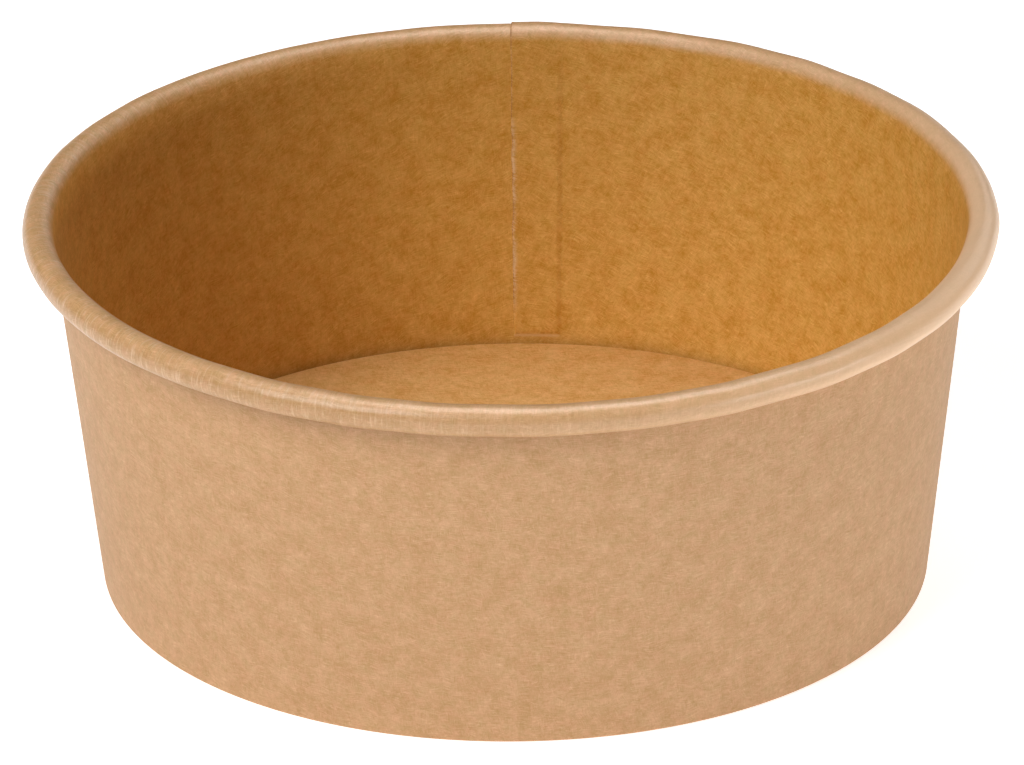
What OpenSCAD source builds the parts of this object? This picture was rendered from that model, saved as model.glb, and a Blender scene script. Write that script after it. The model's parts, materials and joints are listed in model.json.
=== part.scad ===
// Kraft paper salad bowl, made of two boards.
// The sidewall is a blank rolled into a cone and lapped at a side seam. Its top edge is
// curled outwards into the rim, and its bottom edge is turned up inside the foot.
// The base is a disc with a turned-down skirt, gripped between the wall and that hem.
// The axis is +Z, the bowl stands on z = 0, and the side seam is at the back, towards +Y.

/* [Bowl] */
// Outer diameter over the rolled rim
rim_d = 150; // [140:1:180]
// Outer diameter at the foot
foot_d = 128; // [110:1:138]
// Height of the rim above the table
bowl_h = 60; // [40:1:90]

/* [Board] */
// Thickness of the sidewall board
wall_t = 0.42; // [0.3:0.01:0.6]
// Thickness of the base board
base_t = 0.36; // [0.25:0.01:0.5]
// Gap left for the heat-sealed coating between two boards
seal_gap = 0.03; // [0.02:0.01:0.06]

/* [Rolled rim] */
// Outer diameter of the roll, measured across its section
roll_d = 4.8; // [4:0.1:6.5]
// How far below its outermost point the roll starts to tighten, in degrees
tuck_a = 60; // [45:1:75]
// How far the tightened part of the roll goes on, in degrees
tuck_turn = 210; // [120:5:210]

/* [Foot and base] */
// Height of the base's upper face above the table
floor_h = 7.8; // [7:0.1:12]
// Outer radius of the bend between the base's disc and its skirt
bend_r = 0.9; // [0.6:0.05:1.5]
// Height of the turned-up hem inside the foot
hem_h = 6; // [4:0.1:6.5]
// Depth by which the turned edge is pressed flat where it stands
foot_press = 0.06; // [0.03:0.01:0.12]
// Gap between the skirt's lower edge and the turn of the hem
skirt_clear = 0.2; // [0.1:0.05:0.6]

/* [Side seam] */
// Width of the lap
lap_w = 7.2; // [5:0.1:10]
// How far the lapped board stands proud on the food side
lap_rise_in = 0.22; // [0.1:0.01:0.35]
// How far the lapped board stands proud on the outside
lap_rise_out = 0.12; // [0.05:0.01:0.2]
// Height above the base at which the lap is crushed flush
lap_ledge = 1.2; // [0.6:0.1:3]
// Length over which the lap's outer edge dies away below the roll and inside the hem
lap_taper = 1; // [0.5:0.1:1.5]
// Direction of the lap's edge on the food side, in degrees from +X
seam_a = 90; // [0:1:360]

/* [Hidden] */

// Angle between two points of a round stretch, in degrees
arc_step = 9;
// Facets of a full turn where the section is revolved
turn_fn = 180;
// Steps by which the board eases over the edge that it laps
ease_steps = 3;
// Width of one such step
ease_w = 0.4;

foot_r = foot_d / 2;
foot = [foot_r, 0];
roll_r = roll_d / 2;
roll_c = [rim_d / 2 - roll_r, bowl_h - roll_r];

// The wall leans out so that its food side runs tangent into the roll.
lean = acos((roll_r - wall_t) / norm(roll_c - foot)) - atan2(roll_c.y, roll_c.x - foot.x);
inward = [-cos(lean), sin(lean)];
upward = [sin(lean), cos(lean)];
// Directions of the wall's two faces, as angles in the section
food_a = 180 - lean;
back_a = -lean;

// The roll tightens so that its underside comes round to meet the wall.
tuck_r = roll_r - (wall_t + seal_gap) / (1 + cos(tuck_a - lean));
tuck_c = roll_c + (roll_r - tuck_r) * [cos(tuck_a), -sin(tuck_a)];
tuck_end = -tuck_a - tuck_turn;

// Depths below the wall's outer face, from the outside inwards
skirt_depth = wall_t + seal_gap;
hem_depth = skirt_depth + base_t + seal_gap;

// The turn of the hem goes round the skirt's lower edge.
turn_in_r = base_t / 2 + seal_gap;
turn_out_r = turn_in_r + wall_t;
turn_depth = skirt_depth + base_t / 2;
turn_z = turn_out_r - foot_press;
turn_s = along_at(turn_depth, turn_z);
turn_c = face(turn_depth, turn_s);

roll_s = (roll_c - foot) * upward;
hem_s = along_at(hem_depth, hem_h);
skirt_s = turn_s + skirt_clear;

bend_depth = skirt_depth + bend_r;
bend_s = along_at(bend_depth, floor_h - bend_r);
bend_c = face(bend_depth, bend_s);

// The lap is as wide as lap_w halfway up the wall.
lap_a = lap_w / ((foot_r + roll_c.x) / 2) * 180 / PI;
ease_a = ease_w / foot_r * 180 / PI;
ledge_s = along_at(wall_t, floor_h + lap_ledge);
// The lap's strips reach halfway into the board that carries them.
lap_bite = wall_t / 2;
// The lap goes on under the roll, and up the wall's outside, until there is no room for it.
lap_under_a = food_a - 360 + room_a(lap_rise_in + lap_rise_out + seal_gap);
lap_top_s = (tuck_c - foot) * upward - tuck_r * sin(room_a(lap_rise_out));

// A point at a depth below the wall's outer face and a distance up along it
function face(depth, along) = foot + depth * inward + along * upward;

// How far round from where it meets the wall the roll's underside leaves that much room
function room_a(room) = acos(1 - room / tuck_r);

// The distance along the wall that brings a point at that depth to a height
function along_at(depth, height) = (height - depth * sin(lean)) / cos(lean);

// Points of a clockwise arc: its two ends, and every whole step between them
function arc(centre, radius, from_a, to_a) =
    let (first = ceil(from_a / arc_step) - 1)
    let (last = floor(to_a / arc_step) + 1)
    [for (a = concat(from_a, [for (i = [first:-1:last]) i * arc_step], to_a))
        centre + radius * [cos(a), sin(a)]];

// The curl seen as one line, at a distance inside the roll's outer surface
function curl(inset, end_a) = concat(
    arc(roll_c, roll_r - inset, food_a, -tuck_a),
    arc(tuck_c, tuck_r - inset, -tuck_a, end_a));

// The turn of the hem seen as one line, pressed flat where it would reach below the table
function turn(radius) =
    radius <= turn_z
        ? arc(turn_c, radius, back_a, food_a - 360)
        : let (a = asin(turn_z / radius))
            concat(
                arc(turn_c, radius, back_a, -a),
                arc(turn_c, radius, a - 180, food_a - 360));

function backwards(points) = [for (i = [len(points) - 1:-1:0]) points[i]];

// The sidewall's board: up the hem's inner side, round the foot, up the wall and into the roll
module sidewall_section() {
    polygon(concat(
        [face(hem_depth + wall_t, hem_s)],
        backwards(turn(turn_out_r)),
        curl(wall_t, tuck_end),
        backwards(curl(0, tuck_end)),
        turn(turn_in_r),
        [face(hem_depth, hem_s)]));
}

// What the lap adds on the food side, which is the outer side of the roll
module lap_food_section(rise) {
    polygon(concat(
        [face(wall_t + rise, ledge_s)],
        curl(-rise, lap_under_a),
        backwards(curl(lap_bite, lap_under_a)),
        [face(wall_t - lap_bite, ledge_s)]));
}

// What the lap adds on the outside: up the hem, round the foot and up the wall to the roll
module lap_back_section(rise) {
    polygon(concat(
        [face(hem_depth + wall_t + rise, hem_s - 2 * lap_taper)],
        backwards(turn(turn_out_r + rise)),
        [face(-rise, lap_top_s - lap_taper), face(lap_bite, lap_top_s)],
        turn(turn_out_r - lap_bite),
        [face(hem_depth + wall_t - lap_bite, hem_s - lap_taper)]));
}

// Revolves a section from one direction to another.
module sweep(from_a, to_a) {
    rotate([0, 0, from_a])
        rotate_extrude(angle = to_a - from_a, $fn = turn_fn) children();
}

// On the food side the board ends sharply at seam_a and eases in at the lap's other side.
module lap_food_side() {
    sweep(seam_a - lap_a, seam_a) lap_food_section(lap_rise_in);
    for (i = [1:ease_steps])
        sweep(seam_a - lap_a - i * ease_a, seam_a - lap_a / 2)
            lap_food_section(lap_rise_in * (1 - i / (ease_steps + 1)));
}

// On the outside it is the other way round.
module lap_back_side() {
    sweep(seam_a - lap_a, seam_a) lap_back_section(lap_rise_out);
    for (i = [1:ease_steps])
        sweep(seam_a - lap_a / 2, seam_a + i * ease_a)
            lap_back_section(lap_rise_out * (1 - i / (ease_steps + 1)));
}

module sidewall() {
    color("peru") {
        rotate_extrude($fn = turn_fn) sidewall_section();
        lap_food_side();
        lap_back_side();
    }
}

// The base's board: a flat disc, a bend and a skirt that follows the wall down
module base_section() {
    polygon(concat(
        [[0, floor_h]],
        arc(bend_c, bend_r, 90, back_a),
        [face(skirt_depth, skirt_s), face(skirt_depth + base_t, skirt_s)],
        backwards(arc(bend_c, bend_r - base_t, 90, back_a)),
        [[0, floor_h - base_t]]));
}

module base() {
    color("burlywood") rotate_extrude($fn = turn_fn) base_section();
}

sidewall();
base();
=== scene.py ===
"""Looks of the paper salad bowl: two boards, their surfaces, the floor, the light and the camera.

Lengths are in millimetres and angles in radians until a mesh is made.
A section is drawn as (distance from the axis, height), and then swept round the axis.
"""

import json
import math

import bpy
import numpy as np
from mathutils import Matrix, Vector


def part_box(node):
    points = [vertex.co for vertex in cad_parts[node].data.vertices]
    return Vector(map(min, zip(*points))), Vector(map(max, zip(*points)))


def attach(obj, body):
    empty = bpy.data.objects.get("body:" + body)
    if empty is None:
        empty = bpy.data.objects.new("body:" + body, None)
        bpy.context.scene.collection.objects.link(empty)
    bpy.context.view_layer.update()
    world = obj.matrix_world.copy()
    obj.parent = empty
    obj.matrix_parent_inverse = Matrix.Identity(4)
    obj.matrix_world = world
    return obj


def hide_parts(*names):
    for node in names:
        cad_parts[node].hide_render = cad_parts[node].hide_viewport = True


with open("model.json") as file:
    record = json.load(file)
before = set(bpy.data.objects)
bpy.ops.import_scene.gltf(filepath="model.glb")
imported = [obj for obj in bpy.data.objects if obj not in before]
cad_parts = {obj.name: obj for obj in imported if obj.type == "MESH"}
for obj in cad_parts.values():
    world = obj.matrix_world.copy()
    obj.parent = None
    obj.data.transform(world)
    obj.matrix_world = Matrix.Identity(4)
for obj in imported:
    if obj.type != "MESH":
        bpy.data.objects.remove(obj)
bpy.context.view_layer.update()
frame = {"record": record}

MM = 0.001
SEED = 7

# Sizes that the frame gives
rim_mount = next(m for m in frame["record"]["mounts"] if m["name"] == "lid_rim")
FLOOR_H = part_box("base")[1].z / MM
RIM_R = rim_mount["dims"]["r_mm"]

# Sizes of the solids that the frame doesn't give by themselves
FOOT_R = 64.0
WALL_T = 0.42
BASE_T = 0.36
SEAL_GAP = 0.03
ROLL_R = 2.4
TUCK_A = math.radians(60)
TUCK_TURN = math.radians(210)
BEND_R = 0.9
HEM_H = 6.0
FOOT_PRESS = 0.06
SKIRT_CLEAR = 0.2
LAP_W = 7.2
LAP_EASE = 1.2
LAP_EASE_BEAD = 5.0
LAP_RISE_IN = 0.22
LAP_RISE_OUT = 0.12
LAP_LEDGE = 1.2
LAP_TAPER = 1.0
SEAM_A = math.radians(90)
BOWL_H = rim_mount["pos_m"][2] / MM + ROLL_R

# The stretches of the sidewall's board, from the hem's edge to the roll's end
HEM, TURN, WALL, ROLL, TUCK = range(5)

# How far below the roll the wall starts to follow the bead
BEAD_REACH = 9.0

# Size of the wall's and the bead's ripples, and by how much the wall's turn on the way up
WALL_RIPPLE = 0.075
WALL_RIPPLE_TURN = 0.03
BEAD_RIPPLE_OUT = 0.045
BEAD_RIPPLE_UP = 0.055

# How far the raw edges wander, on what length, and where they lie on the whole
EDGE_WANDER = 0.09
EDGE_WANDER_REACH = 12
EDGE_SHIFT = -0.1

# How the lap's edges differ from the solids: rounded cuts, an uneven rise and a crushed ridge
EDGE_ROUND = 0.09
EDGE_JITTER = 0.16
RIDGE_RISE = 0.03
RIDGE_W = 0.22

# How far the foot and the rim are out of round, and the rim is out of level
FOOT_OVAL = 0.2
RIM_OVAL = 0.016
RIM_TRILOBE = -0.216
RIM_SADDLE = 0.149
RIM_TWIST = -0.021
RIM_TILT = -0.016

# Painted shade, where the board is made darker: above its seat on the base, round the roll's lower
# half from an angle past the roll's start, and on the outside below the roll
SEAT_SHADE_REACH = 1.1
SHADE_FROM = math.radians(115)
SHADE_OVER = math.radians(60)
SHADE_MOST = 1.3
BACK_SHADE_MOST = 1.35
BACK_SHADE_REACH = 2.5

# Widths of the cut edges, and place and width of the frayed ply beside one and the part of
# the wall's length that it takes
CUT_W = 0.12
RAW_W = 0.16
RAW_BACK_W = 0.1
FRAY_AT = 0.33
FRAY_W = 0.26
FRAY_FROM = 12
FRAY_TO = 47
FRAY_FADE = 5

# How far apart the surface's pattern is taken for the two sides of a board
LAYER_GAP = 700.0


# The section of the two boards, from the same formulas as the solids

foot = np.array([FOOT_R, 0.0])
roll_c = np.array([RIM_R - ROLL_R, BOWL_H - ROLL_R])
slope = roll_c - foot
lean = math.acos((ROLL_R - WALL_T) / np.hypot(*slope)) - math.atan2(slope[1], slope[0])
inward = np.array([-math.cos(lean), math.sin(lean)])
upward = np.array([math.sin(lean), math.cos(lean)])
food_a = math.pi - lean
back_a = -lean


def face(depth, along):
    """A point at a depth below the wall's outer face and a distance up along it."""
    return foot + np.multiply.outer(depth, inward) + np.multiply.outer(along, upward)


def along_at(depth, height):
    """The distance along the wall that brings a point at that depth to a height."""
    return (height - depth * math.sin(lean)) / math.cos(lean)


def spokes(angles):
    return np.stack([np.cos(angles), np.sin(angles)], axis=-1)


tuck_r = ROLL_R - (WALL_T + SEAL_GAP) / (1 + math.cos(TUCK_A - lean))
tuck_c = roll_c + (ROLL_R - tuck_r) * np.array([math.cos(TUCK_A), -math.sin(TUCK_A)])
tuck_end = -TUCK_A - TUCK_TURN

skirt_depth = WALL_T + SEAL_GAP
hem_depth = skirt_depth + BASE_T + SEAL_GAP
turn_r = BASE_T / 2 + SEAL_GAP + WALL_T / 2
turn_depth = skirt_depth + BASE_T / 2
turn_s = along_at(turn_depth, turn_r + WALL_T / 2 - FOOT_PRESS)
turn_c = face(turn_depth, turn_s)
roll_s = (roll_c - foot) @ upward
hem_s = along_at(hem_depth, HEM_H)
skirt_s = turn_s + SKIRT_CLEAR
bend_depth = skirt_depth + BEND_R
bend_c = face(bend_depth, along_at(bend_depth, FLOOR_H - BEND_R))
ledge_s = along_at(WALL_T, FLOOR_H + LAP_LEDGE)


def room_a(room):
    return math.acos(1 - room / tuck_r)


lap_under_a = food_a - math.tau + room_a(LAP_RISE_IN + LAP_RISE_OUT + SEAL_GAP)
lap_top_s = (tuck_c - foot) @ upward - tuck_r * math.sin(room_a(LAP_RISE_OUT))
lap_r = (FOOT_R + roll_c[0]) / 2

# The blank of the sidewall is a piece of a flat ring, and this is its radius at the foot.
blank_r = FOOT_R / math.sin(lean)


def smooth(x):
    """Goes smoothly from 0 to 1 as x does."""
    x = np.clip(x, 0, 1)
    return x * x * (3 - 2 * x)


def near(x, width):
    """1 where x is 0, and next to nothing two widths away."""
    return np.exp(-(x / width) ** 2)


def waves(rng, orders, size, turns=0.0):
    """A periodic ripple round the bowl, as a function of azimuth and height."""
    terms = [(k, size * rng.normal() / math.sqrt(len(orders)), rng.uniform(0, math.tau),
              rng.normal() * turns) for k in orders]

    def ripple(az, height):
        return sum(a * np.cos(k * az + phase + twist * height) for k, a, phase, twist in terms)

    return ripple


rng = np.random.default_rng(SEED)
wall_ripple = waves(rng, range(4, 15), WALL_RIPPLE, WALL_RIPPLE_TURN)
bead_out = waves(rng, range(9, 44), BEAD_RIPPLE_OUT)
bead_up = waves(rng, range(7, 36), BEAD_RIPPLE_UP)
edge_wander = waves(rng, range(3, 24), EDGE_WANDER)


def warp(radius, az, height, on_bead):
    """The bowl is a little out of round, its rim isn't quite level, and its board ripples."""
    up = np.clip(height / BOWL_H, 0, 1)
    free = smooth((height - FLOOR_H) / 22)
    out = up * (RIM_OVAL * np.cos(2 * az) + RIM_TRILOBE * np.cos(3 * az))
    out = out + (1 - up) * FOOT_OVAL * np.cos(2 * az)
    out = out + free * (1 - 0.6 * on_bead) * wall_ripple(az, height) + on_bead * bead_out(az, 0)
    lift = up * (RIM_SADDLE * np.cos(2 * az) + RIM_TWIST * np.sin(2 * az) + RIM_TILT * np.cos(az))
    return radius + out, height + lift + on_bead * bead_up(az, 0)


def to_space(radius, az, height):
    return np.stack([radius * np.cos(az), radius * np.sin(az), height], axis=-1) * MM


# The sidewall's board as stations along its middle line, from the hem's edge to the roll's end

def sidewall_stations():
    points, normals, kinds = [], [], []

    def straight(depth, along, normal, kind):
        points.append(face(depth, along))
        normals.append(np.tile(normal, (len(along), 1)))
        kinds.extend([kind] * len(along))

    def bend(centre, radius, angles, sign, kind):
        points.append(centre + radius * spokes(angles))
        normals.append(sign * spokes(angles))
        kinds.extend([kind] * len(angles))

    straight(np.full(4, hem_depth + WALL_T / 2), np.linspace(hem_s, turn_s, 5)[:-1], -inward, HEM)
    bend(turn_c, turn_r, np.linspace(food_a - math.tau, back_a, 11)[:-1], -1, TURN)
    wall = np.concatenate([
        np.linspace(turn_s, ledge_s - 0.5, 9)[:-1],
        ledge_s + np.array([-0.5, -0.3, -0.15, 0.0, 0.15, 0.35, 0.6]),
        np.linspace(ledge_s + 1, roll_s, 38)[:-1]])
    straight(np.full(len(wall), WALL_T / 2), wall, inward, WALL)
    bend(roll_c, ROLL_R - WALL_T / 2, np.linspace(food_a, -TUCK_A, 35)[:-1], 1, ROLL)
    bend(tuck_c, tuck_r - WALL_T / 2, np.linspace(-TUCK_A, tuck_end, 22), 1, TUCK)
    points, normals = np.concatenate(points), np.concatenate(normals)
    length = np.concatenate([[0], np.cumsum(np.hypot(*np.diff(points, axis=0).T))])
    kinds = np.array(kinds)
    length += turn_s - length[np.argmax(kinds == WALL)]
    return points, normals, length, kinds


def lap_masks(points, length, kinds):
    """How much of the lap's two rises each station has, and where its lower end is pressed."""
    angle = np.where(kinds == TUCK, np.unwrap(np.arctan2(*(points - tuck_c).T[::-1])), 0)
    first = angle[np.argmax(kinds == TUCK)]
    angle = angle - first - TUCK_A
    end = (angle - lap_under_a) * tuck_r
    food = np.where(kinds == TUCK, smooth(end / LAP_TAPER), 1.0)
    food = np.where(kinds == WALL, smooth((length - ledge_s + 0.35) / 1.0), food)
    food[kinds < WALL] = 0
    back = np.where(kinds == WALL, smooth((lap_top_s - length) / LAP_TAPER), 0.0)
    back[kinds < WALL] = 1
    on_hem = (points[kinds == HEM] - foot) @ upward
    back[kinds == HEM] = smooth((hem_s - LAP_TAPER - on_hem) / LAP_TAPER)
    ridge = np.where(kinds == WALL, near(length - ledge_s + 0.15, RIDGE_W), 0)
    return food, back, ridge


def sidewall_columns():
    """Azimuths of the columns, from just past the raw edge on the food side round to that edge.

    The lists hold distances from that edge. They are close together at the lap's two edges.
    """
    turn = math.tau * lap_r
    past_edge = [0.015, 0.1, 0.25, 0.5, 0.8, 1.2, 1.7]
    lap = [0, 0.04, 0.1, 0.2, 0.35, 0.6, 1, 1.6, 2.4, 3.3, 4.2, 5.1, 5.9, 6.5, 6.9, 7.05, 7.14,
           LAP_W, 7.23, 7.35, 7.5, 7.7, 7.9, 8.1, 8.3, 8.5, 8.8, 9.3]
    body = np.linspace(2.6, turn - 10.2, 366)
    spots = np.concatenate([past_edge, body, turn - np.array(lap[::-1])])
    return SEAM_A + spots / lap_r


def beside_edge(az):
    """How far columns are from the raw edge on the food side, before it and after it."""
    return (SEAM_A + math.tau - az) * lap_r, (az - SEAM_A) * lap_r


def lap_rises(az, ease):
    """The lap's rise on the food side and on the outside, for columns at these azimuths."""
    before, after = beside_edge(az)
    food = np.interp(before, [0, 0.04, 0.1, 0.2], [0, 0.11, 0.19, LAP_RISE_IN])
    food = food * smooth((LAP_W + LAP_EASE - before) / ease)
    back = np.interp(LAP_W - before, [-0.01, 0.05, 0.14], [0, 0.09, LAP_RISE_OUT])
    back = np.maximum(back, LAP_RISE_OUT * (1 - smooth(after / LAP_EASE)))
    return food, back


def make_mesh(name, verts, faces, attributes):
    mesh = bpy.data.meshes.new(name)
    mesh.from_pydata(verts, [], faces)
    for key, values in attributes.items():
        is_vector = values.ndim == 2
        layer = mesh.attributes.new(key, "FLOAT_VECTOR" if is_vector else "FLOAT", "POINT")
        numbers = values.astype(np.float32).ravel()
        layer.data.foreach_set("vector" if is_vector else "value", numbers)
    mesh.polygons.foreach_set("use_smooth", [True] * len(mesh.polygons))
    mesh.update()
    piece = bpy.data.objects.new(name, mesh)
    bpy.context.scene.collection.objects.link(piece)
    return piece


def ring_faces(columns, points):
    """Quads of a closed section swept right round."""
    i, j = np.meshgrid(np.arange(columns), np.arange(points), indexing="ij")
    ni, nj = (i + 1) % columns, (j + 1) % points
    corners = [i * points + j, i * points + nj, ni * points + nj, ni * points + j]
    return np.stack(corners, -1).reshape(-1, 4)


def round_section(on_food, on_back, on_cap):
    """Values round the closed section: food side, roll's end, outside, hem's edge."""
    return np.concatenate([on_food, [on_cap], on_back[::-1], [on_cap]])


def sidewall_section(az, points, normals, length, masks):
    """The closed section at each column, with the lap's two rises."""
    mask_food, mask_back, ridge = masks
    rise_food, rise_back = lap_rises(az, LAP_EASE)
    rise_bead, _ = lap_rises(az, LAP_EASE_BEAD)
    to_bead = np.interp(length, [roll_s - BEAD_REACH, roll_s - 1], [0, 1])
    jitter = np.random.default_rng(SEED + 1)
    rough = 1 + EDGE_JITTER * jitter.normal(size=len(points))
    near_edge = near(beside_edge(az)[0], 0.5)
    food_out = np.outer(rise_food, mask_food * (1 - to_bead))
    food_out = food_out + np.outer(rise_bead, mask_food * to_bead)
    food_out *= 1 + np.outer(near_edge, rough - 1)
    food_out += np.outer(rise_food / LAP_RISE_IN, RIDGE_RISE * ridge)
    back_out = np.outer(rise_back, mask_back)

    half = WALL_T / 2
    food = points + normals * (half + food_out)[..., None]
    back = points - normals * (half + back_out)[..., None]
    tangent = np.gradient(points, axis=0)
    tangent /= np.hypot(*tangent.T)[:, None]
    for side in (food, back):
        side[:, 0] += tangent[0] * EDGE_ROUND
        side[:, -1] -= tangent[-1] * EDGE_ROUND
    first_cap = np.tile(points[0], (len(az), 1, 1))
    last_cap = np.tile(points[-1], (len(az), 1, 1))
    section = np.concatenate([food, last_cap, back[:, ::-1], first_cap], axis=1)
    section[..., 1] = np.maximum(section[..., 1], 0)
    return section


def shading(length, kinds):
    """How much painted shade darkens each station on the food side and on the outside."""
    above_seat = np.maximum(length - along_at(WALL_T, FLOOR_H), 0)
    painted_shade = np.where(kinds <= WALL, np.exp(-above_seat / SEAT_SHADE_REACH), 0)
    past_start = (length - roll_s) / (ROLL_R - WALL_T / 2) - SHADE_FROM
    painted_shade = np.where(kinds == ROLL, SHADE_MOST * smooth(past_start / SHADE_OVER), painted_shade)
    painted_shade[kinds == TUCK] = SHADE_MOST
    near_roll = np.maximum(lap_top_s - length, 0) / BACK_SHADE_REACH
    shade_below_roll = np.where(kinds == WALL, BACK_SHADE_MOST * np.exp(-near_roll ** 1.3), 0.0)
    return painted_shade, shade_below_roll


def sidewall_fields(az, az_all, along, length, kinds, masks):
    """What the board's material has to know at each point of the sidewall."""
    mask_food, mask_back, ridge = masks
    count = len(az)
    before, _ = beside_edge(az)
    food_side = round_section(np.ones(len(length)), np.zeros(len(length)), 0.5)

    # On the outside the lap's ply belongs to the blank's other end.
    under_lap = (before < LAP_W - 0.02)[:, None] * (food_side < 0.5)[None, :]
    blank_az = (az_all - SEAM_A - math.pi - math.tau * under_lap) * math.sin(lean)
    reach = blank_r + along[None, :]
    beside = np.tile(food_side * LAYER_GAP, (count, 1))
    blank_x = reach * np.sin(blank_az) + beside
    blank_y = reach * np.cos(blank_az) - blank_r
    blank = np.stack([blank_x, blank_y, 0 * beside], -1)

    # The board's cut edges: the lap's two, the hem's and the roll's
    shown = mask_food * np.where(kinds == WALL, smooth((length - ledge_s - 1) / 6), 1)
    raw = np.outer(near(before, RAW_W), food_side * round_section(shown, shown, 0))
    raw_back = near(before - LAP_W + 0.05, RAW_BACK_W)
    raw += np.outer(raw_back, (1 - food_side) * round_section(mask_back, mask_back, 0))
    cut_end = sum(near(along - end, CUT_W) for end in (length[-1], length[0]))
    raw = np.clip(raw + cut_end[None, :], 0, 1)

    # The frayed ply beside the edge on the food side, and the lap's crushed foot, a pale line that
    # is partly stretched film and partly a painted highlight
    fray_span = smooth((length - FRAY_FROM) / FRAY_FADE) * smooth((FRAY_TO - length) / FRAY_FADE)
    fray_span = np.where(kinds == WALL, fray_span, 0.0)
    frayed = np.outer(near(before - FRAY_AT, FRAY_W), round_section(fray_span, 0 * fray_span, 0))
    rise_food, _ = lap_rises(az, LAP_EASE)
    ledge_highlight = np.outer(rise_food / LAP_RISE_IN, round_section(ridge, 0 * ridge, 0))

    # The bead is creased most on one side, has a painted highlight on the other, and is glossier
    # on top.
    curl = smooth((along - roll_s + 0.3) / 2.0)
    creased = 0.12 + 0.88 * (0.5 - 0.5 * np.cos(az_all - 0.2)) ** 3
    bead_highlight = (0.5 + 0.5 * np.cos(az_all + 0.25)) ** 5
    crown = smooth((along - roll_s - 1.2) / 2.6)
    return {
        "blank": blank.reshape(-1, 3),
        "food": np.tile(food_side, count),
        "raw": raw.ravel(),
        "curl": np.tile(curl, count),
        "ledge_highlight": ledge_highlight.ravel(),
        "painted_shade": np.tile(round_section(*shading(length, kinds), 0), count),
        "frayed": frayed.ravel(),
        "creased": creased.ravel(),
        "bead_highlight": bead_highlight.ravel(),
        "crown": np.tile(crown, count),
        "round": np.repeat(az_all[:, 0] * RIM_R, len(along)),
    }


def build_sidewall():
    points, normals, length, kinds = sidewall_stations()
    masks = lap_masks(points, length, kinds)
    az = sidewall_columns()
    section = sidewall_section(az, points, normals, length, masks)
    along = round_section(length, length, 0)
    along[len(points)] = length[-1]
    along[-1] = length[0]

    # The raw edges wander a little, and so do the columns beside them.
    before, after = beside_edge(az)
    follows = near(np.minimum(before, after), 1.6) + near(before - LAP_W, 1.2)
    wander = edge_wander(along / EDGE_WANDER_REACH, 0) + EDGE_SHIFT
    az_all = np.repeat(az[:, None], len(along), axis=1) + np.outer(follows, wander) / lap_r

    on_bead = np.interp(along, [roll_s - BEAD_REACH, roll_s + 1], [0, 1])
    on_bead = np.tile(on_bead, (len(az), 1))
    radius, height = warp(section[..., 0], az_all, section[..., 1], on_bead)
    verts = to_space(radius, az_all, np.maximum(height, 0)).reshape(-1, 3)
    fields = sidewall_fields(az, az_all, along, length, kinds, masks)
    return make_mesh("bowl_sidewall", verts, ring_faces(len(az), len(along)).tolist(), fields)


# The base: a disc, a bend and a skirt that follows the wall down

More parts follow.
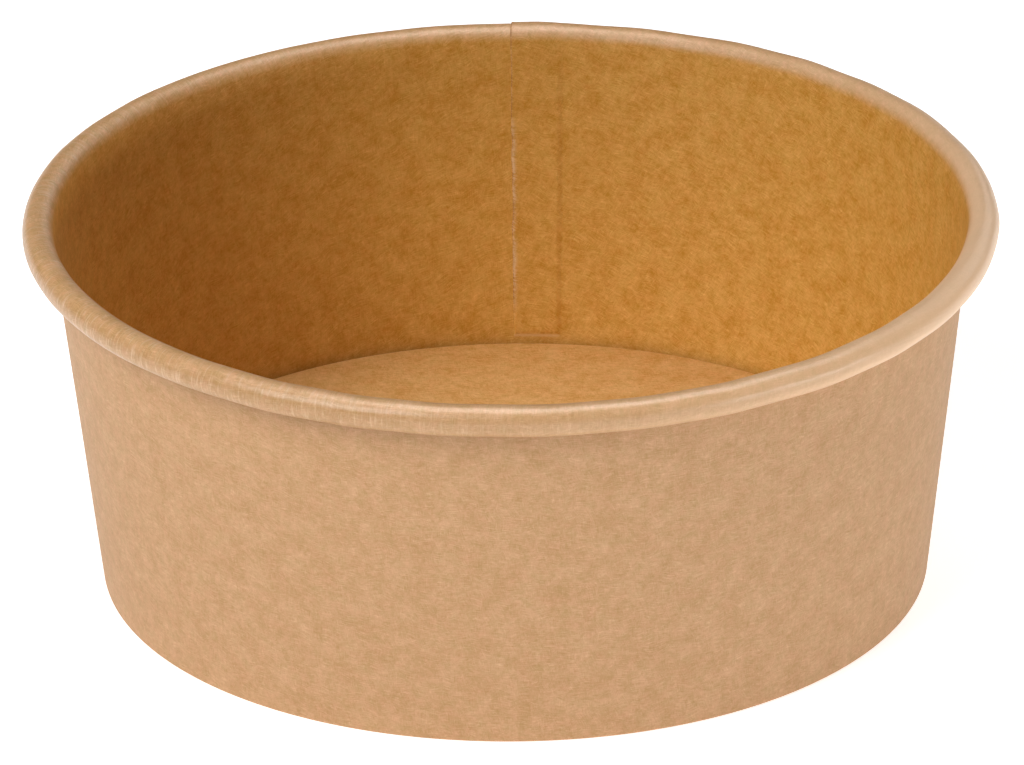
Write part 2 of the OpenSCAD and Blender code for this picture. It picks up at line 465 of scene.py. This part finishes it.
def build_base():
    columns = 300
    az = np.arange(columns) * math.tau / columns
    disc = np.concatenate([np.linspace(1.5, 60, 40), np.linspace(61, bend_c[0], 4)[:-1]])
    bend = np.linspace(math.pi / 2, back_a, 13)
    skirt = np.linspace(along_at(bend_depth, FLOOR_H - BEND_R), skirt_s, 7)[1:]
    top = np.concatenate([
        np.stack([disc, np.full(len(disc), FLOOR_H)], -1),
        bend_c + BEND_R * spokes(bend),
        face(np.full(len(skirt), skirt_depth), skirt)])
    normals = np.concatenate([
        np.tile([0.0, 1.0], (len(disc), 1)), spokes(bend), np.tile(-inward, (len(skirt), 1))])
    under = top - BASE_T * normals
    section = np.concatenate([top, under[::-1]])
    steps = np.hypot(*np.diff(top, axis=0).T)
    reach = np.concatenate([[disc[0]], disc[0] + np.cumsum(steps)])
    reach = np.concatenate([reach, reach[::-1]])
    food_side = np.concatenate([np.ones(len(top)), np.zeros(len(top))])
    cut_end = np.zeros(len(section))
    cut_end[len(top) - 1:len(top) + 1] = 1

    def sag(radius, azimuth):
        """The disc lies nearly flat, a little drawn and a little wavy."""
        inner = smooth((61 - radius) / 26)
        swell = 0.10 * np.cos(radius / 17 + 0.6) + 0.06 * np.cos(2 * azimuth + 0.8) * radius / 60
        return inner * (swell + 0.05 * np.cos(3 * azimuth - 0.5 + radius / 30))

    grid_az = np.repeat(az[:, None], len(section), axis=1)
    radius = np.tile(section[:, 0], (columns, 1))
    height = np.tile(section[:, 1], (columns, 1)) + sag(radius, grid_az)
    radius, height = warp(radius, grid_az, height, 0 * radius)
    verts = to_space(radius, grid_az, height).reshape(-1, 3)
    centre_sag = float(sag(np.zeros(1), np.zeros(1))[0])
    centres = np.array([[0, 0, FLOOR_H + centre_sag], [0, 0, FLOOR_H - BASE_T + centre_sag]]) * MM
    verts = np.concatenate([verts, centres])

    size = len(section)
    i, j = np.meshgrid(np.arange(columns), np.arange(size - 1), indexing="ij")
    ni = (i + 1) % columns
    quads = np.stack([i * size + j, i * size + j + 1, ni * size + j + 1, ni * size + j], -1)
    i = np.arange(columns)
    ni = (i + 1) % columns
    upper = np.stack([np.full(columns, columns * size), i * size, ni * size], -1)
    last = size - 1
    lower = np.stack([np.full(columns, columns * size + 1), ni * size + last, i * size + last], -1)
    faces = quads.reshape(-1, 4).tolist() + upper.tolist() + lower.tolist()

    beside = np.tile(food_side * LAYER_GAP, (columns, 1))
    flat_x = reach * np.cos(grid_az) + beside
    flat_y = reach * np.sin(grid_az) + LAYER_GAP
    flat = np.stack([flat_x, flat_y, 0 * beside], -1)
    flat = np.concatenate([flat.reshape(-1, 3), [[LAYER_GAP, LAYER_GAP, 0], [0, LAYER_GAP, 0]]])
    fields = {
        "blank": flat,
        "food": np.concatenate([np.tile(food_side, columns), [1, 0]]),
        "raw": np.concatenate([np.tile(cut_end, columns), [0, 0]]),
    }
    for key in ("curl", "ledge_highlight", "painted_shade", "frayed", "creased", "bead_highlight", "crown", "round"):
        fields[key] = np.zeros(len(verts))
    return make_mesh("bowl_base", verts, faces, fields)


# The board's surface

def node(tree, kind, sockets=None, **settings):
    made = tree.nodes.new(kind)
    for key, value in settings.items():
        setattr(made, key, value)
    for key, value in (sockets or {}).items():
        if isinstance(value, bpy.types.NodeSocket):
            tree.links.new(value, made.inputs[key])
        else:
            made.inputs[key].default_value = value
    return made


def calc(tree, operation, a, b=0.0, c=0.0):
    return node(tree, "ShaderNodeMath", {0: a, 1: b, 2: c}, operation=operation).outputs[0]


def ramp(tree, value, low, high, to_low=0.0, to_high=1.0):
    return node(tree, "ShaderNodeMapRange", {0: value, 1: low, 2: high, 3: to_low, 4: to_high},
                interpolation_type="SMOOTHSTEP").outputs[0]


def mix(tree, factor, a, b, blend="MIX"):
    return node(tree, "ShaderNodeMix", {0: factor, 6: a, 7: b},
                data_type="RGBA", blend_type=blend).outputs[2]


def calc_colour(tree, colour, factor):
    return node(tree, "ShaderNodeVectorMath", {0: colour, 3: factor}, operation="SCALE").outputs[0]


def cloud(tree, vector, scale, detail=2.0, rough=0.5):
    return node(tree, "ShaderNodeTexNoise", {"Vector": vector, "Scale": scale, "Detail": detail,
                                             "Roughness": rough}, noise_dimensions="2D").outputs[0]


def fibres(tree, vector, angle, length, width, shift):
    """Short streaks that run along one direction, in millimetres."""
    turned = node(tree, "ShaderNodeMapping", {"Vector": vector, "Rotation": (0, 0, angle)})
    drawn = node(tree, "ShaderNodeMapping", {
        "Vector": turned.outputs[0],
        "Location": (*shift, 0),
        "Scale": (1 / length, 1 / width, 1),
    })
    return cloud(tree, drawn.outputs[0], 1.0, 1.0, 0.5)


# Colours of the board, as linear values
# The food side's colours are brighter and more saturated than the outside's: partly the coating,
# partly painted light for the light bounced round inside the bowl
WALL_COLOUR = (0.675, 0.346, 0.065, 1)
FLOOR_COLOUR = (0.675, 0.355, 0.098, 1)
OUT_COLOUR = (0.50, 0.283, 0.132, 1)
CURL_COLOUR = (0.645, 0.362, 0.162, 1)
CUT_DARK = (0.30, 0.11, 0.02, 1)
CUT_PALE = (0.62, 0.36, 0.15, 1)
FRAY_COLOUR = (0.80, 0.60, 0.40, 1)
# Pale line on the lap's crushed foot: partly stretched film, partly a painted highlight
LEDGE_HIGHLIGHT_COLOUR = (0.86, 0.58, 0.28, 1)
CREASE_COLOUR = (0.80, 0.60, 0.42, 1)
# A painted highlight that makes one side of the bead paler
BEAD_HIGHLIGHT_COLOUR = (0.90, 0.60, 0.37, 1)

# Width of a fibre, depth of the bump, and the plain board's roughness
FIBRE_W = 0.15
BUMP_DEPTH = 0.012 * MM
ROUGHNESS = 0.64


def field(tree, key, output="Fac"):
    return node(tree, "ShaderNodeAttribute", attribute_name=key).outputs[output]


def sheet_pattern(tree, blank):
    """The sheet's cloudy formation, a drift of its hue, and its fibres in three directions."""
    # Fibres wander, because a slow noise bends the coordinates that they are drawn in.
    bend = node(tree, "ShaderNodeTexNoise", {"Vector": blank, "Scale": 0.3, "Detail": 0.0},
                noise_dimensions="2D")
    bent = node(tree, "ShaderNodeVectorMath", {
        0: bend.outputs["Color"], 1: (1.2, 1.2, 0.0), 2: blank}, operation="MULTIPLY_ADD")
    bent = bent.outputs[0]
    formation = cloud(tree, blank, 0.25, 4.0, 0.95)
    hue = cloud(tree, blank, 0.5, 2.0, 0.7)
    along = fibres(tree, bent, 0.05, 1.9, FIBRE_W, (3, 9))
    across = fibres(tree, bent, 1.35, 1.4, FIBRE_W, (31, 2))
    slant = fibres(tree, bent, -0.6, 1.7, FIBRE_W, (7, 23))
    return formation, hue, along, across, slant


def sheet_tone(tree, formation, along, across, slant):
    """How much lighter or darker than its mean the sheet is.

    Clouds and soft streaks come first, then the few sharp pale and dark fibres.
    """
    tone = calc(tree, "MULTIPLY", calc(tree, "SUBTRACT", formation, 0.5), 0.52)
    for value, share in ((along, 0.17), (across, 0.11), (slant, 0.10)):
        tone = calc(tree, "MULTIPLY_ADD", calc(tree, "SUBTRACT", value, 0.5), share, tone)
    for value, low, share in ((along, 0.64, 0.08), (across, 0.66, 0.06)):
        tone = calc(tree, "MULTIPLY_ADD", ramp(tree, value, low, low + 0.12), share, tone)
    for value, high, share in ((along, 0.34, 0.05), (across, 0.34, 0.05)):
        tone = calc(tree, "MULTIPLY_ADD", ramp(tree, value, high - 0.12, high, 1, 0), -share, tone)
    return tone


def toned(tree, base, tone, hue, food, curl):
    """The colour of the sheet: darker means more saturated, most of all inside the bowl."""
    drift = calc(tree, "SUBTRACT", hue, 0.5)
    inner = calc(tree, "MULTIPLY", food, calc(tree, "SUBTRACT", 1.0, curl))
    tone = calc(tree, "MULTIPLY", tone, calc(tree, "MULTIPLY_ADD", inner, 0.05, 1.0))
    tone = calc(tree, "MAXIMUM", tone, -0.15)
    red = calc(tree, "MULTIPLY_ADD", drift, 0.10, calc(tree, "ADD", tone, 1.0))
    green = calc(tree, "MULTIPLY_ADD", tone, calc(tree, "MULTIPLY_ADD", inner, 0.5, 1.5), 1.0)
    green = calc(tree, "MULTIPLY_ADD", drift, -0.13, green)
    blue = calc(tree, "MULTIPLY_ADD", tone, calc(tree, "MULTIPLY_ADD", inner, 2.2, 2.5), 1.0)
    factor = node(tree, "ShaderNodeCombineColor", {0: red, 1: green, 2: blue}).outputs[0]
    return mix(tree, 1.0, base, factor, "MULTIPLY")


def edges_and_painted_shade(tree, colour, raw, formation, along):
    """A cut edge is brown with pale broken fibres, and the ply beside it is rubbed pale.

    Painted shade darkens the board where it meets the base, round the roll's lower half and under
    the roll.
    """
    torn = ramp(tree, calc(tree, "MULTIPLY_ADD", along, 0.6, formation), 0.70, 0.95)
    edge = mix(tree, torn, CUT_DARK, CUT_PALE)
    colour = mix(tree, calc(tree, "MULTIPLY", raw, 0.9), colour, edge)
    fibrous = ramp(tree, torn, 0.05, 0.6, 0.12, 0.6)
    fray = calc(tree, "MULTIPLY", field(tree, "frayed"), fibrous)
    colour = mix(tree, fray, colour, FRAY_COLOUR)
    # Partly stretched film, partly a painted highlight along the lap's foot
    ledge_highlight = calc(tree, "MULTIPLY", field(tree, "ledge_highlight"), 0.6)
    colour = mix(tree, ledge_highlight, colour, LEDGE_HIGHLIGHT_COLOUR)
    # Painted shade: darker above the base's seat, round the roll's lower half and below the roll
    painted_shade = calc(tree, "MULTIPLY", field(tree, "painted_shade"), 0.36)
    return mix(tree, painted_shade, colour, calc_colour(tree, colour, 0.45))


def bead_noise(tree, round_at, blank_y, round_scale, up_scale, detail, rough):
    """Noise in the bead's own coordinates: round the bowl, and round the roll's section."""
    place = node(tree, "ShaderNodeCombineXYZ", {
        0: calc(tree, "MULTIPLY", round_at, round_scale),
        1: calc(tree, "MULTIPLY", blank_y, up_scale),
    })
    return cloud(tree, place.outputs[0], 1.0, detail, rough)


def board(name, food_colour):
    material = bpy.data.materials.new(name)
    material.use_nodes = True
    tree = material.node_tree
    tree.nodes.clear()

    blank = field(tree, "blank", "Vector")
    food = field(tree, "food")
    raw = field(tree, "raw")
    curl = field(tree, "curl")
    blank_y = node(tree, "ShaderNodeSeparateXYZ", {0: blank}).outputs[1]

    formation, hue, along, across, slant = sheet_pattern(tree, blank)
    tone = sheet_tone(tree, formation, along, across, slant)
    base = mix(tree, food, OUT_COLOUR, food_colour)
    base = mix(tree, calc(tree, "MULTIPLY", curl, food), base, CURL_COLOUR)
    colour = toned(tree, base, tone, hue, food, curl)
    colour = edges_and_painted_shade(tree, colour, raw, formation, along)

    # The board creases finely across the roll where it is bent round, and is rubbed along it.
    round_at = field(tree, "round")
    crease = bead_noise(tree, round_at, blank_y, 2.4, 0.25, 2.0, 0.8)
    rub = bead_noise(tree, round_at, blank_y, 0.06, 2.2, 1.0, 0.6)
    creased = calc(tree, "MULTIPLY", curl, field(tree, "creased"))
    lighter = calc(tree, "MULTIPLY", creased, 0.45)
    lighter = calc(tree, "MULTIPLY", ramp(tree, crease, 0.50, 0.72), lighter)
    colour = mix(tree, lighter, colour, CREASE_COLOUR)
    # Painted highlight: the bead is made paler on one side, round azimuth -0.25
    bead_highlight = calc(tree, "MULTIPLY", curl, field(tree, "bead_highlight"))
    colour = mix(tree, calc(tree, "MULTIPLY", bead_highlight, 0.8), colour, BEAD_HIGHLIGHT_COLOUR)

    height = calc(tree, "MULTIPLY", formation, 2.0)
    height = calc(tree, "MULTIPLY_ADD", crease, calc(tree, "MULTIPLY", creased, 2.4), height)
    height = calc(tree, "MULTIPLY_ADD", rub, calc(tree, "MULTIPLY", curl, 2.2), height)
    bump = node(tree, "ShaderNodeBump", {
        "Height": height, "Distance": BUMP_DEPTH, "Strength": 1.0})

    # The coated food side is glossier than the outside, and so is the bead, most of all on top.
    glossier = calc(tree, "MULTIPLY_ADD", curl, -0.12, -0.08)
    glossier = calc(tree, "MULTIPLY_ADD", field(tree, "crown"), -0.10, glossier)
    rough = calc(tree, "MULTIPLY_ADD", food, glossier, ROUGHNESS)
    rough = calc(tree, "MULTIPLY_ADD", calc(tree, "SUBTRACT", formation, 0.5), 0.15, rough)
    rough = calc(tree, "MULTIPLY_ADD", raw, 0.3, rough)
    shader = node(tree, "ShaderNodeBsdfPrincipled", {
        "Base Color": colour, "Roughness": rough, "Normal": bump.outputs[0], "IOR": 1.47})
    out = node(tree, "ShaderNodeOutputMaterial")
    tree.links.new(shader.outputs[0], out.inputs[0])
    return material


for build, cad_node, food_colour in (
        (build_sidewall, "sidewall", WALL_COLOUR), (build_base, "base", FLOOR_COLOUR)):
    piece = build()
    piece.data.materials.append(board("board_" + cad_node, food_colour))
    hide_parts(cad_node)
    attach(piece, "root")


# The floor, the light and the camera

def plain(name, colour, rough, glow):
    material = bpy.data.materials.new(name)
    material.use_nodes = True
    shader = material.node_tree.nodes["Principled BSDF"]
    shader.inputs["Base Color"].default_value = (*colour, 1)
    shader.inputs["Roughness"].default_value = rough
    shader.inputs["Emission Color"].default_value = (1, 1, 1, 1)
    shader.inputs["Emission Strength"].default_value = glow
    return material


# Half the floor's side, how far below the foot it lies, its look, and the light all round
FLOOR_HALF = 2.5
FLOOR_DROP = 0.02 * MM
FLOOR_WHITE = (0.88, 0.88, 0.88)
FLOOR_ROUGHNESS = 0.8
FLOOR_GLOW = 0.68
WORLD_GLOW = 0.03


def build_floor():
    half = FLOOR_HALF
    mesh = bpy.data.meshes.new("floor")
    corners = [(-half, -half, 0), (half, -half, 0), (half, half, 0), (-half, half, 0)]
    mesh.from_pydata(corners, [], [(0, 1, 2, 3)])
    floor = bpy.data.objects.new("floor", mesh)
    floor.location.z = -FLOOR_DROP
    bpy.context.scene.collection.objects.link(floor)
    mesh.materials.append(plain("floor_white", FLOOR_WHITE, FLOOR_ROUGHNESS, FLOOR_GLOW))


# Where the lights point
LIGHT_AIM = (0, 0, 0.03)

# Name, place, size, power, and whether the light is seen only in gloss
LIGHTS = (
    ("key", (-1.10, -0.99, 1.37), (1.3, 1.1), 29.5, False),
    ("fill", (0.5, 0.5, 1.5), (0.8, 0.8), 8.0, False),
    ("strip", (1.55, -0.75, 0.075), (1.3, 0.13), 9.0, False),
    ("top", (-0.10, 0.10, 1.6), (1.0, 1.1), 21.0, True),
    ("rear", (0.92, 1.45, 0.70), (1.4, 0.6), 3.5, True),
)


def add_light(name, place, size, power, only_gloss):
    light = bpy.data.lights.new(name, "AREA")
    light.shape = "RECTANGLE"
    light.size, light.size_y = size
    light.energy = power
    lamp = bpy.data.objects.new(name, light)
    lamp.visible_diffuse = not only_gloss
    lamp.location = place
    lamp.rotation_euler = (Vector(LIGHT_AIM) - Vector(place)).to_track_quat("-Z", "Y").to_euler()
    bpy.context.scene.collection.objects.link(lamp)


def build_light():
    world = bpy.data.worlds.new("studio")
    world.use_nodes = True
    background = world.node_tree.nodes["Background"]
    background.inputs["Color"].default_value = (1, 1, 1, 1)
    background.inputs["Strength"].default_value = WORLD_GLOW
    bpy.context.scene.world = world
    bpy.context.scene.view_settings.view_transform = "Standard"
    for values in LIGHTS:
        add_light(*values)


def build_camera():
    elevation = math.radians(24.806)
    roll = math.radians(-0.62)
    distance = 1557.934 * MM
    width, height = 1024, 765
    focal = 10059.06
    centre_x, centre_y = 513.718, 383.32
    camera = bpy.data.cameras.new("camera")
    camera.sensor_fit = "HORIZONTAL"
    camera.sensor_width = 36
    camera.lens = focal * camera.sensor_width / width
    camera.shift_x = (width / 2 - centre_x) / width
    camera.shift_y = (centre_y - height / 2) / width
    camera.clip_start, camera.clip_end = 0.05, 20
    ahead = Vector((0, math.cos(elevation), -math.sin(elevation)))
    right = Vector((1, 0, 0))
    above = right.cross(ahead)
    tilted = math.cos(roll) * right + math.sin(roll) * above
    upper = math.cos(roll) * above - math.sin(roll) * right
    eye = bpy.data.objects.new("camera", camera)
    turn = Matrix((tilted, upper, -ahead)).transposed()
    place = Vector((0, 0, 30 * MM)) - distance * ahead
    eye.matrix_world = Matrix.Translation(place) @ turn.to_4x4()
    bpy.context.scene.collection.objects.link(eye)
    bpy.context.scene.camera = eye


build_floor()
build_light()
build_camera()
